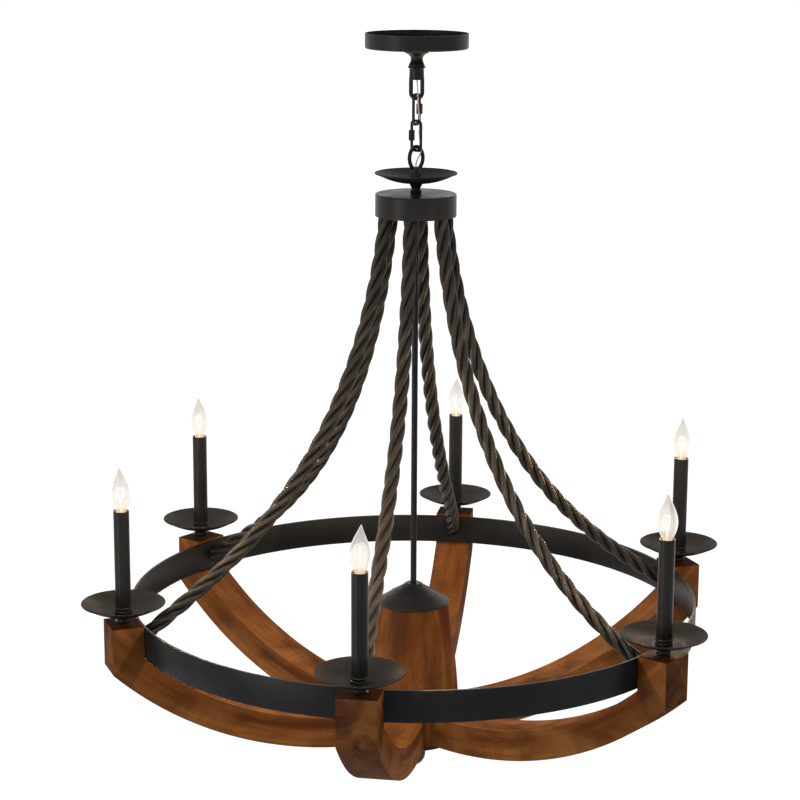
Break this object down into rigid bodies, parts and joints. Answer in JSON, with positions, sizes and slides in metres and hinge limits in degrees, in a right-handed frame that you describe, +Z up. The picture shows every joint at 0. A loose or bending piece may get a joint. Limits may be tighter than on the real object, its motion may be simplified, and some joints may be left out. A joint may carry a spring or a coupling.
{
  "type": "wagon wheel chandelier",
  "caption": "Chandelier with an iron wheel, curved wooden spokes, twisted iron arms and electric candles, hung from a ceiling canopy on quick links.",
  "frame": {"origin": "on the ceiling plane, at the centre of the canopy and the crossbar", "axes": "+Z up into the ceiling; -Y towards candle 1; +X along the crossbar"},
  "size_m": [1.0054, 1.14, 1.2494],
  "materials": {
    "iron_satin": "satin black baked paint",
    "iron_cast": "dark painted castings and links",
    "rope_iron": "black with rubbed brown highlights",
    "zinc": "zinc plated",
    "earth_green": "green earth screw",
    "wood_stain": "stained medium brown, satin lacquer",
    "dowel_wood": "plain",
    "socket_phenolic": "matte moulded",
    "bulb_glass": "clear",
    "cord_clear": "clear over copper"
  },
  "bodies": {
    "ceiling_mount": {"canopy": "iron_satin", "crossbar": "zinc", "ground_screw": "earth_green", "canopy_nipple": "zinc", "nipple_nut": "zinc", "collar_ring": "iron_cast", "canopy_loop": "iron_cast"},
    "upper_link": {"upper_link": "iron_cast"},
    "upper_link_nut": {"upper_link_nut": "iron_cast"},
    "lower_link": {"lower_link": "iron_cast"},
    "lower_link_nut": {"lower_link_nut": "iron_cast"},
    "fixture": {"hub_eye": "iron_cast", "hub_dish": "iron_satin", "hub_spacer": "iron_cast", "hub_drum": "iron_satin", "hub_floor": "iron_cast", "hub_nuts": "zinc", "rope_nuts": "zinc", "rod": "iron_cast", "rope_1": "rope_iron", "rope_2": "rope_iron", "rope_3": "rope_iron", "rope_4": "rope_iron", "rope_5": "rope_iron", "rope_6": "rope_iron", "ring": "iron_satin", "ring_studs": "zinc", "arm_1": "wood_stain", "arm_2": "wood_stain", "arm_3": "wood_stain", "arm_4": "wood_stain", "arm_5": "wood_stain", "arm_6": "wood_stain", "arm_dowels": "dowel_wood", "centre_post": "wood_stain", "post_cap": "iron_satin", "base_plate": "iron_satin", "finial": "iron_satin", "bobeche_1": "iron_satin", "bobeche_2": "iron_satin", "bobeche_3": "iron_satin", "bobeche_4": "iron_satin", "bobeche_5": "iron_satin", "bobeche_6": "iron_satin", "sleeve_1": "iron_cast", "sleeve_2": "iron_cast", "sleeve_3": "iron_cast", "sleeve_4": "iron_cast", "sleeve_5": "iron_cast", "sleeve_6": "iron_cast", "candle_necks": "iron_cast", "candle_nipples": "zinc", "lamp_sockets": "socket_phenolic", "lamp_cord": "cord_clear"},
    "bulb_1": {"bulb_1": "bulb_glass"},
    "bulb_2": {"bulb_2": "bulb_glass"},
    "bulb_3": {"bulb_3": "bulb_glass"},
    "bulb_4": {"bulb_4": "bulb_glass"},
    "bulb_5": {"bulb_5": "bulb_glass"},
    "bulb_6": {"bulb_6": "bulb_glass"}
  },
  "joints": [
    {"name": "chain_upper", "type": "hinge", "parent": "ceiling_mount", "child": "upper_link", "pos_m": [0, 0, -0.1041], "axis": [0.9866, 0.1633, 0], "range_deg": [-20, 20], "deforming": ["lamp_cord"]},
    {"name": "chain_middle", "type": "hinge", "parent": "upper_link", "child": "lower_link", "pos_m": [0, 0, -0.14565], "axis": [0.319, 0.9478, 0], "range_deg": [-20, 20], "deforming": ["lamp_cord"]},
    {"name": "chain_lower", "type": "hinge", "parent": "lower_link", "child": "fixture", "pos_m": [0, 0, -0.1882], "axis": [0.8028, -0.5962, 0], "range_deg": [-20, 20], "deforming": ["lamp_cord"]},
    {"name": "upper_nut_slide", "type": "slide", "parent": "upper_link", "child": "upper_link_nut", "axis": [0, 0, 1], "range_m": [0, 0.0075]},
    {"name": "lower_nut_slide", "type": "slide", "parent": "lower_link", "child": "lower_link_nut", "axis": [0, 0, 1], "range_m": [0, 0.0075]},
    {"name": "bulb_1_turn", "type": "hinge", "parent": "fixture", "child": "bulb_1", "pos_m": [0, -0.502, -0.7519], "axis": [0, 0, 1], "range_deg": [0, 1080]},
    {"name": "bulb_2_turn", "type": "hinge", "parent": "fixture", "child": "bulb_2", "pos_m": [-0.43474, -0.251, -0.7519], "axis": [0, 0, 1], "range_deg": [0, 1080]},
    {"name": "bulb_3_turn", "type": "hinge", "parent": "fixture", "child": "bulb_3", "pos_m": [-0.43474, 0.251, -0.7519], "axis": [0, 0, 1], "range_deg": [0, 1080]},
    {"name": "bulb_4_turn", "type": "hinge", "parent": "fixture", "child": "bulb_4", "pos_m": [0, 0.502, -0.7519], "axis": [0, 0, 1], "range_deg": [0, 1080]},
    {"name": "bulb_5_turn", "type": "hinge", "parent": "fixture", "child": "bulb_5", "pos_m": [0.43474, 0.251, -0.7519], "axis": [0, 0, 1], "range_deg": [0, 1080]},
    {"name": "bulb_6_turn", "type": "hinge", "parent": "fixture", "child": "bulb_6", "pos_m": [0.43474, -0.251, -0.7519], "axis": [0, 0, 1], "range_deg": [0, 1080]}
  ]
}
